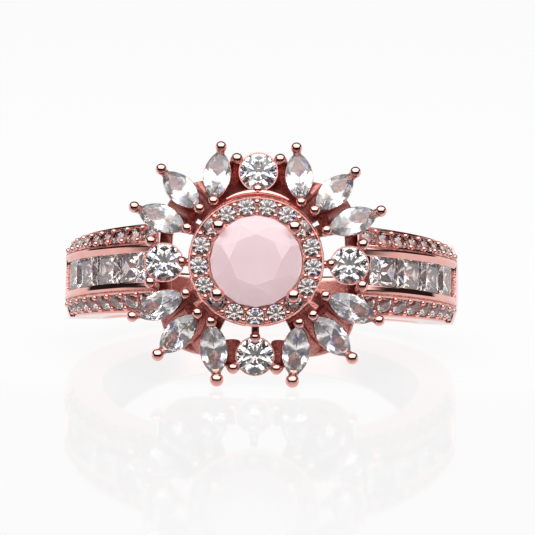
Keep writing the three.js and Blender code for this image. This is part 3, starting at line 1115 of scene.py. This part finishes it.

# A cup's wall, from its rim down the inside and up the outside. Petals: growth of the stone's
# outline, depth under the stone and polish. Accents: radius, height and polish.
# Low polish deep in a cup also paints the metal dark red as shade.
PETAL_WALL = np.array([
    (0.02, -0.08, 1.0), (0.0, -0.045, 1.0), (-0.04, -0.05, 1.0), (-0.07, -0.1, 1.0),
    (-0.14, -0.24, 1.0), (-0.3, -0.6, 0.9), (-0.42, -1.0, 0.3), (-0.34, -1.04, 0.2),
    (-0.22, -1.0, 0.2), (-0.12, -0.6, 0.3), (-0.02, -0.28, 0.6), (0.02, -0.13, 1.0)])
ACCENT_WALL = np.array([
    (1.09, 0.0, 1.0), (1.075, 0.05, 1.0), (1.02, 0.05, 1.0), (0.97, -0.06, 0.4), (0.8, -0.3, 0.3),
    (0.62, -0.75, 0.2), (0.66, -0.84, 0.2), (0.78, -0.84, 0.3), (0.92, -0.5, 0.6), (1.04, -0.12, 0.9)])


@dataclass(frozen=True)
class BaseRing:
    """The saddle-shaped ring under the head: a superellipse draped over the finger."""

    half_x: float = 5.1
    half_z: float = 4.55
    wall: float = 0.7
    bottom_radius: float = 8.95
    top_radius: float = 9.95

    def radius(self, turn: float | Array, beyond: float | Array = 0.0) -> Array:
        """Distance from the head's middle: (across / half_x)^4 + (up / half_z)^4 = 1, grown by beyond.

        Args:
            turn: radians round the head from its right.
            beyond: millimetres outwards from the ring's middle line.

        Returns:
            The distance.
        """
        across = np.cos(turn) / (self.half_x + beyond)
        up = np.sin(turn) / (self.half_z + beyond)
        return (across ** 4 + up ** 4) ** -0.25

    def above(self, turn: float | Array, beyond: float | Array, height: float | Array) -> Array:
        """A point over the ring, whose top is sqrt(top_radius^2 - across^2) from the finger's middle.

        Args:
            turn: radians round the head from its right.
            beyond: millimetres outwards from the ring's middle line.
            height: millimetres above the ring's top.

        Returns:
            The point or points.
        """
        radius = self.radius(turn, beyond)
        across = radius * np.cos(turn)
        top = np.sqrt(self.top_radius ** 2 - across ** 2)
        return head_point(across, radius * np.sin(turn), top + height)

    def shell(self) -> Shell:
        """The ring: a bar with soft corners carried round.

        Returns:
            The closed surface.
        """
        turn = np.arange(160)[:, None] * TAU / 160
        tall = self.top_radius - self.bottom_radius
        bar = rounded_bar(self.wall, tall, 24, 7)
        return looped(self.above(turn, bar[:, 0], bar[:, 1] - tall / 2), 0.25)


@dataclass(frozen=True)
class Petal:
    """One marquise petal: its two bead centres and its stone."""

    inner: Array
    outer: Array
    width: float = 1.5
    tip_cover: float = 0.15
    sink: float = 0.12

    @property
    def length(self) -> float:
        """Length of the stone."""
        return float(np.linalg.norm(self.outer - self.inner)) - 2 * self.tip_cover

    @property
    def seat(self) -> Seat:
        """The stone's seat, halfway between the beads."""
        return Seat.at((self.inner + self.outer) / 2, self.outer - self.inner, OUTWARD).sunk(self.sink)

    def under(self, share: float, depth: float) -> Array:
        """A point under the stone's long line; share is 0 at its middle and 1 at its outer tip."""
        return self.seat.place(np.array([share * self.length / 2, 0, -depth]))

    def tip_claw(self, end: int, bead: float) -> Shell:
        """The V-shaped foot of a bead: a flat bar that widens under the stone's tip.

        Args:
            end: 1 for the outer tip and -1 for the inner one.
            bead: the bead's radius.

        Returns:
            The closed surface.
        """
        share = np.linspace(0, 1, 10)
        along = end * (self.length / 2 + self.tip_cover - 0.62 * share)
        depth = -0.04 - 0.3 * smoothstep(share, 0.0, 0.6)
        path = self.seat.place(np.column_stack([along, 0 * share, depth]))
        across = self.seat.place(np.array([[0.0, 1.0, 0.0]]))[0] - self.seat.middle
        widening = 1.0 + 0.75 * smoothstep(share, 0, 1)[:, None]
        return tube(path, bead * 0.62 - 0.04 * share, 20, 0.9, widening, across)

    def cup(self) -> Shell:
        """The boat-shaped cup: the stone's outline grown or shrunk at each depth of a closed wall.

        Returns:
            The closed surface.
        """
        around = np.arange(64) * TAU / 64
        rings = []
        for grow, depth, _ in PETAL_WALL:
            flat = marquise_outline(self.length + 2 * grow, self.width + 2 * grow, around)
            rings.append(self.seat.place(np.column_stack([flat, np.full(64, depth)])))
        return looped(np.stack(rings), PETAL_WALL[:, 2:])


@dataclass
class Sunburst:
    """The gallery with its twelve cups and twenty-four claws."""

    place: RingFrame
    base: BaseRing
    petal_bead: float = 0.31
    web_inner: float = 3.2
    web_brow: float = 3.75
    web_out: float = 12.28
    web_thick: float = 0.35
    web_wall: float = 0.9
    brow_radius: float = 3.86
    bar_turns: tuple[float, ...] = (35, 145, 215, 325)
    web_turns: tuple[tuple[float, float], ...] = ((24, 33), (37, 62))

    corners: dict = field(default_factory=lambda: {
        "upper": ((2.4, 3.29, 12.8), (2.06, 6.38, 11.8)),
        "middle": ((3.14, 2.86, 12.9), (5.3, 5.09, 11.9)),
        "side": ((3.8, 1.79, 12.75), (6.73, 3.0, 11.8)),
    })

    def petals(self) -> dict[str, Petal]:
        """The twelve petals, mirrored from one quarter.

        Returns:
            The petals by name.
        """
        made = {}
        for up_name, up in (("upper", 1), ("lower", -1)):
            for side in Side:
                for name, (inner, outer) in self.corners.items():
                    ends = [head_point(side.value * a, up * u, o) for a, u, o in (inner, outer)]
                    made[f"marquise_{up_name}_{side.name.lower()}_{name}"] = Petal(*ends)
        return made

    def petal_metal(self, petal: Petal, bead: float) -> list[Shell]:
        """A petal's cup, its two claws, its leg and the rib under its inner claw.

        Args:
            petal: the petal.
            bead: the outer bead's radius.

        Returns:
            The closed surfaces.
        """
        turn = math.atan2(petal.inner[2], petal.inner[0])
        radial = head_point(math.cos(turn), math.sin(turn), 0)
        sunk = self.base.above(turn, 0, -0.3)
        return [
            petal.cup(),
            petal.tip_claw(1, bead), petal.tip_claw(-1, self.petal_bead),
            *claw(petal.under(0.3, 0.95), petal.outer, bead, 0.24, 0.2, petal.under(0.8, 0.55), 0.75),
            *claw(self.base.above(turn, -0.1, -0.3), petal.inner, self.petal_bead, 0.22, 0.26, None, 0.2),
            straight(sunk, petal.under(-0.05, 0.8), (0.34, 0.26), 0.05, blade=1.3,
                     across=np.cross(radial, OUTWARD)),
            straight(radial * 4.05 + OUTWARD * 11.5, self.base.above(turn, 0, 0.8), (0.16, 0.3), 0.3),
        ]

    def web(self, start: float, stop: float) -> Shell:
        """A sloping plate from under the halo down to the base ring.

        Args:
            start: where it begins, in degrees round the head from its right.
            stop: where it ends.

        Returns:
            The closed surface.
        """
        turn = np.radians(np.linspace(start, stop, 24))
        one = np.ones_like(turn)
        foot, heel = self.base.radius(turn), -self.base.above(turn, 0, -0.15)[:, 1]
        top, under = self.web_out * one, (self.web_out - self.web_thick) * one
        corners = [(self.web_inner * one, top), (self.web_brow * one, top), (foot, heel + self.web_wall),
                   (foot, heel), ((self.web_brow - 0.15) * one, under), (self.web_inner * one, under)]
        rings = [head_point(r * np.cos(turn), r * np.sin(turn), out) for r, out in corners]
        # Polish 0: the web is painted the dark red of shade.
        return capped(np.stack(rings, axis=1), 0.0)

    def brow(self) -> Shell:
        """The polished crescent between the halo and the top accent: a bar that thins to its ends.

        Returns:
            The closed surface.
        """
        turn = np.radians(np.linspace(64, 116, 30))
        across, up = self.brow_radius * np.cos(turn), self.brow_radius * np.sin(turn)
        path = head_point(across, up, self.web_out - 0.05)
        return tube(path, 0.2 * np.sin(np.linspace(0.25, math.pi - 0.25, 30)) ** 0.6, 16, 0.9)

    def bar(self, degrees: float) -> Shell:
        """A bar from under the halo to the base ring.

        Args:
            degrees: where it stands, round the head from its right.

        Returns:
            The closed surface.
        """
        turn = math.radians(degrees)
        start = head_point(4.35 * math.cos(turn), 4.35 * math.sin(turn), 11.5)
        # Polish 0: the bar is painted the dark red of shade.
        return straight(start, self.base.above(turn, 0, 0.4), (0.34, 0.34), 0.0)

    def build(self, metal: bpy.types.Material, stone: bpy.types.Material) -> None:
        """Builds and dresses the gallery and the petals' stones.

        Args:
            metal: the gallery's finish.
            stone: the petals' finish.
        """
        casting = Casting("sunburst_casting", [self.base.shell(), self.web(61, 119), self.brow()])
        for start, stop in self.web_turns:
            for low, high in ((start, stop), (180 - stop, 180 - start)):
                casting.add(self.web(low, high), self.web(low + 180, high + 180))
        for degrees in self.bar_turns:
            casting.add(self.bar(degrees))
        for name, petal in self.petals().items():
            bead = LOW_BEAD[name.rsplit("_", 1)[1]] if petal.outer[2] < 0 else self.petal_bead
            casting.add(*self.petal_metal(petal, bead))
            cut = Brilliant(petal.length, petal.width, table=0.3, crown=0.17, girdle=0.015, pavilion=0.42)
            settle(stones(f"{name}_stone", [(cut, petal.seat)], self.place), stone, Slot.CLEAR, name)
        settle(casting.build(self.place), metal, Slot.HEAD, "sunburst_gallery")


@dataclass
class Collet:
    """The cup and claws of one round accent stone.

    One that is on_band stands on the rails; the others stand on the base ring by wide posts.
    """

    place: RingFrame
    name: str
    turn: float
    across: float = 1.18
    beyond: float = 0.68
    outer_out: float = 11.8
    inner: float = 4.04
    inner_out: float = 12.2
    on_band: bool = False
    radius: float = 5.05
    out: float = 11.7
    bead: float = 0.33
    inner_bead: float = 0.29
    neck: float = 0.24

    def local(self, along: float, across: float, out: float) -> Array:
        """A point by its distance from the head's middle, sideways and out."""
        c, s = math.cos(self.turn), math.sin(self.turn)
        return head_point(along * c - across * s, along * s + across * c, out)

    def cup(self) -> Shell:
        """The cup: a closed wall profile turned about the stone's axis.

        Returns:
            The closed surface.
        """
        turn = np.arange(64) * TAU / 64
        middle = self.local(self.radius, 0, self.out)
        rings = [middle + r * head_point(np.cos(turn), np.sin(turn), 0) + h * OUTWARD
                 for r, h, _ in ACCENT_WALL]
        return looped(np.stack(rings), ACCENT_WALL[:, 2:])

    def outer_claw(self, side: int) -> list[Shell]:
        """One of the two outer claws.

        Args:
            side: 1 or -1.

        Returns:
            Its bar and its bead.
        """
        tip = self.local(self.radius + self.beyond, side * self.across, self.outer_out)
        knee = self.local(self.radius + self.beyond, side * self.across, self.out - 0.55)
        if self.on_band:
            root = self.local(self.radius + 0.55, side * 1.1, 9.7)
            return claw(root, tip, self.bead, self.neck, 0.26, knee)
        root = self.local(self.radius - 0.75, side * 1.5, 10.3)
        return claw(root, tip, self.bead, self.neck, 0.46, knee, 0.15, blade=1.5, across=[1, 0, 0])

    def build(self, metal: bpy.types.Material) -> None:
        """Builds and dresses the collet.

        Args:
            metal: its finish.
        """
        root = self.local(self.radius - 0.8, 0, self.out - 0.6)
        inner_tip = self.local(self.inner, 0, self.inner_out)
        start, stop = self.local(3.4, 0, 12.1), self.local(self.radius - 0.85, 0, self.out + 0.2)
        casting = Casting(f"collet_{self.name}", [
            self.cup(), *self.outer_claw(-1), *self.outer_claw(1),
            *claw(root, inner_tip, self.inner_bead, self.neck, self.neck),
            straight(start, stop, (0.22, 0.22), 0.8, sides=14, rows=8)])
        settle(casting.build(self.place), metal, Slot.HEAD, f"accent_collet_{self.name}")


@dataclass
class Halo:
    """The ring of seats round the centre stone, its beads, prongs and basket."""

    place: RingFrame
    count: int = 17
    diameter: float = 1.0
    radius: float = 3.14
    out: float = 13.0
    squash: float = 0.96
    inner: float = 2.56
    outer: float = 3.71
    bottom: float = 12.42
    outer_beads: tuple[float, float] = (3.4, 0.18)
    inner_beads: tuple[float, float] = (2.8, 0.15)
    prong_x: float = 2.077
    prong_z: float = 1.872
    prong_out: float = 13.38
    prong_bead: float = 0.4
    foot_radius: float = 1.73
    foot_out: float = 11.0

    def point(self, angle: float | Array, radius: float | Array, out: float | Array) -> Array:
        """A point of the halo: angle from straight down, radius and how far out."""
        return head_point(radius * np.sin(angle), -radius * self.squash * np.cos(angle), out)

    def ring(self) -> Shell:
        """The halo: a section with a raised rim, carried round, with a pit where each stone sits.

        Returns:
            The closed surface.
        """
        around, floor = 408, 18
        angle = np.arange(around)[:, None] * TAU / around
        under = self.bottom - self.out
        rim = np.array([[self.outer - 0.14, 0.07], [self.outer - 0.11, 0.1], [self.outer - 0.05, 0.1],
                        [self.outer, 0.04], [self.outer, -0.06], [self.outer - 0.1, -0.3],
                        [self.outer - 0.3, under], [self.inner + 0.3, under],
                        [self.inner - 0.08, under + 0.1], [self.inner - 0.08, -0.25]])
        radius = np.concatenate([np.linspace(self.inner, self.outer - 0.16, floor), rim[:, 0]])
        height = np.concatenate([np.full(floor, -0.01), rim[:, 1]])
        pitch = TAU / self.count
        offset = (angle / pitch - np.round(angle / pitch)) * pitch
        away = np.hypot(offset * radius, radius - self.radius)
        depth = pit(away, self.diameter / 2, 0.16, 0.04, 0.03, 0.32)
        depth[:, floor:] = 0
        polish = np.repeat([0.3, 1.0, 0.3], [floor, 5, 5])
        return looped(self.point(angle, radius, self.out + height - depth), polish)

    def beads(self) -> list[Shell]:
        """The claws that neighbouring halo stones share: one outside and one inside each gap.

        Returns:
            The beads.
        """
        angles = (np.arange(self.count) + 0.5) * TAU / self.count
        return [ball(self.point(angle, radius, self.out + 0.04), bead, OUTWARD, 1.1, sides=18)
                for angle in angles for radius, bead in (self.outer_beads, self.inner_beads)]

    def prongs(self) -> list[Shell]:
        """The four prongs with their legs, and the basket's foot ring.

        Returns:
            The closed surfaces.
        """
        shells = []
        for x in (-self.prong_x, self.prong_x):
            for z in (-self.prong_z, self.prong_z):
                foot, knee = head_point(x * 0.6, z * 0.6, self.foot_out), head_point(x * 1.08, z * 1.08, 12.1)
                shells += claw(foot, head_point(x, z, self.prong_out), self.prong_bead, 0.26, 0.22, knee)
        turn = np.arange(80)[:, None] * TAU / 80
        bar = rounded_bar(0.4, 0.4, 16, 2)
        radius = self.foot_radius + bar[:, 0]
        foot_ring = head_point(radius * np.cos(turn), radius * np.sin(turn), self.foot_out + bar[:, 1])
        return [*shells, looped(foot_ring, 0.4)]

    def build(self, metal: bpy.types.Material) -> None:
        """Builds and dresses the halo setting.

        Args:
            metal: its finish.
        """
        casting = Casting("halo_casting", [self.ring(), *self.beads(), *self.prongs()])
        settle(casting.build(self.place), metal, Slot.HEAD, "halo_setting")


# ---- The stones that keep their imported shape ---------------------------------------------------
def dress_nodes(finishes: dict[str, bpy.types.Material]) -> None:
    """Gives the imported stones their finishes.

    Args:
        finishes: each finish by the start of its stones' names.
    """
    for name, node in frame["nodes"].items():
        if node.hide_render:
            continue
        finish = next(finish for start, finish in finishes.items() if name.startswith(start))
        node.data.materials.clear()
        node.data.materials.append(finish)
        log.info("%s keeps its packed shape", name)


# ---- Studio ---------------------------------------------------------------------------------
WHITE = rgb(1, 1, 1)


@dataclass
class Studio:
    """The pale floor, the soft light round the ring and the camera."""

    place: RingFrame
    paper: float = 0.965
    floor_half: float = 0.3
    floor_glow: float = 0.92
    floor_gloss: float = 0.085
    ceiling: float = 2.4
    table: float = 0.95
    elevation: float = -5.36
    azimuth: float = 1.46
    roll: float = 1.07
    distance: float = 550.0
    view_width: float = 29.805
    aim_right: float = 0.312
    aim_up: float = 0.9025

    def camera(self) -> None:
        """A long lens, a little under the ring's own level and a little to its right."""
        e, a, r = (math.radians(v) for v in (self.elevation, self.azimuth, self.roll))
        back = np.array([math.sin(a) * math.cos(e), -math.cos(a) * math.cos(e), math.sin(e)])
        right = np.array([math.cos(a), math.sin(a), 0.0])
        up = np.cross(back, right)
        right, up = math.cos(r) * right + math.sin(r) * up, math.cos(r) * up - math.sin(r) * right
        spot = self.place.to_row(back * self.distance + right * self.aim_right + up * self.aim_up)
        axes = [Vector(self.place.direction(v)) for v in (right, up, back)]
        data = bpy.data.cameras.new("camera")
        data.sensor_width = 36.0
        data.lens = data.sensor_width * self.distance / self.view_width
        data.clip_start, data.clip_end = 0.05, 50.0
        made = bpy.data.objects.new("camera", data)
        made.matrix_world = Matrix.Translation(Vector(spot)) @ Matrix(axes).transposed().to_4x4()
        bpy.context.scene.collection.objects.link(made)
        bpy.context.scene.camera = made

    def floor(self) -> None:
        """A pale floor that shows a faint reflection and fades into the paper behind."""
        s, z = self.floor_half, CAD_BOX[0].z - 1e-6
        corners = np.array([[-s, -s, z], [s, -s, z], [s, s, z], [-s, s, z]])
        made = new_mesh("floor", corners, [[0, 1, 2, 3]], False)
        material, sheet = new_material("pale_floor")
        place = sheet.place()
        front = sheet.split("ShaderNodeSeparateXYZ", place)[1] * -1
        far = sheet.add("ShaderNodeVectorMath", {"operation": "LENGTH"}, {0: place}, "Value")
        away = far.ramp(0.03, 0.16)
        matt = sheet.add("ShaderNodeBsdfDiffuse", None, {"Color": rgb(0.05, 0.05, 0.05)})
        shine = sheet.add("ShaderNodeEmission", None, {"Color": WHITE, "Strength": self.floor_glow})
        paper = sheet.add("ShaderNodeAddShader", None, {0: matt, 1: shine})
        gloss = sheet.add("ShaderNodeBsdfGlossy", None, {"Roughness": 0.04, "Color": WHITE})
        clear = sheet.add("ShaderNodeBsdfTransparent")
        sheer = away.bigger(front.ramp(0.006, 0.018))
        base = sheet.add("ShaderNodeMixShader", None, {0: sheer, 1: paper, 2: clear})
        glaze = (1 - away.bigger(front.ramp(0.03, 0.075))) * self.floor_gloss
        sheet.end(MATERIAL_END, sheet.add("ShaderNodeMixShader", None, {0: glaze, 1: base, 2: gloss}))
        made.data.materials.append(material)

    def light(self) -> None:
        """Soft light from all round: a bright ceiling, pale paper behind and a dark room in front.

        Rays that have passed through a stone meet more of the pale paper than the others do.
        """
        world = bpy.data.worlds.new("studio")
        world.use_nodes = True
        bpy.context.scene.world = world
        sheet = NodeSheet(world.node_tree)
        way = sheet.add("ShaderNodeTexCoord", None, None, "Generated")
        x, y, z = sheet.split("ShaderNodeSeparateXYZ", way)
        above = z.ramp(0.3, 0.38) * (1 - y.ramp(0.2, 0.34)) * (1 - (x * x).ramp(0.56, 0.72)) * self.ceiling
        level = y.ramp(-0.25, 0.05) * (1 - z.ramp(0.18, 0.22)) * self.table
        strength = above.bigger(level).bigger(0.02)
        room = (1 - y.ramp(-0.25, -0.15)) * z.ramp(-0.5, -0.4) * (1 - z.ramp(0.25, 0.32))
        room = room * (1 - (x * x).ramp(0.5, 0.6))
        behind = (1 - room).bigger(0.08) * self.table
        seen = sheet.add("ShaderNodeLightPath", None, None, "Is Camera Ray")
        through = sheet.add("ShaderNodeLightPath", None, None, "Is Transmission Ray")
        strength = strength + through * (above.bigger(behind) - strength)
        shown = seen * self.paper + (1 - seen) * strength
        sheet.end("ShaderNodeOutputWorld",
                  sheet.add("ShaderNodeBackground", None, {"Color": WHITE, "Strength": shown}))
        bpy.context.scene.view_settings.view_transform = "Standard"

    def build(self) -> None:
        """Builds the studio."""
        self.camera()
        self.floor()
        self.light()


# How the left and right collets differ from the top and bottom ones.
SIDE_COLLET = {"across": 1.13, "beyond": 0.73, "outer_out": 12.0, "inner": 4.05, "on_band": True}


def main() -> None:
    """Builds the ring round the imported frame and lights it."""
    logging.basicConfig(level=logging.INFO, format="%(message)s")
    place = RingFrame.from_record(frame["record"])
    metal, pink = RoseGold().material(), MilkyStone().material()
    clear = ClearStone(body=rgb(0.93, 0.91, 0.92)).material()
    square = ClearStone("channel_stone", body=rgb(1.0, 0.88, 0.85), clarity=0.88).material()
    petal = ClearStone("petal_stone", body=rgb(1.0, 0.98, 0.97), ior=1.74, clarity=0.9).material()
    small = ClearStone("small_stone", body=rgb(0.62, 0.53, 0.5)).material()
    Studio(place).build()
    Band(place).build(metal, small)
    Sunburst(place, BaseRing()).build(metal, petal)
    for name, degrees in (("right", 0), ("top", 90), ("left", 180), ("bottom", 270)):
        Collet(place, name, math.radians(degrees), **(SIDE_COLLET if degrees % 180 == 0 else {})).build(metal)
    Halo(place).build(metal)
    dress_nodes({"centre": pink, "halo": small, "accent": clear, "channel": square})
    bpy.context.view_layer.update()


if __name__ == "__main__":
    main()
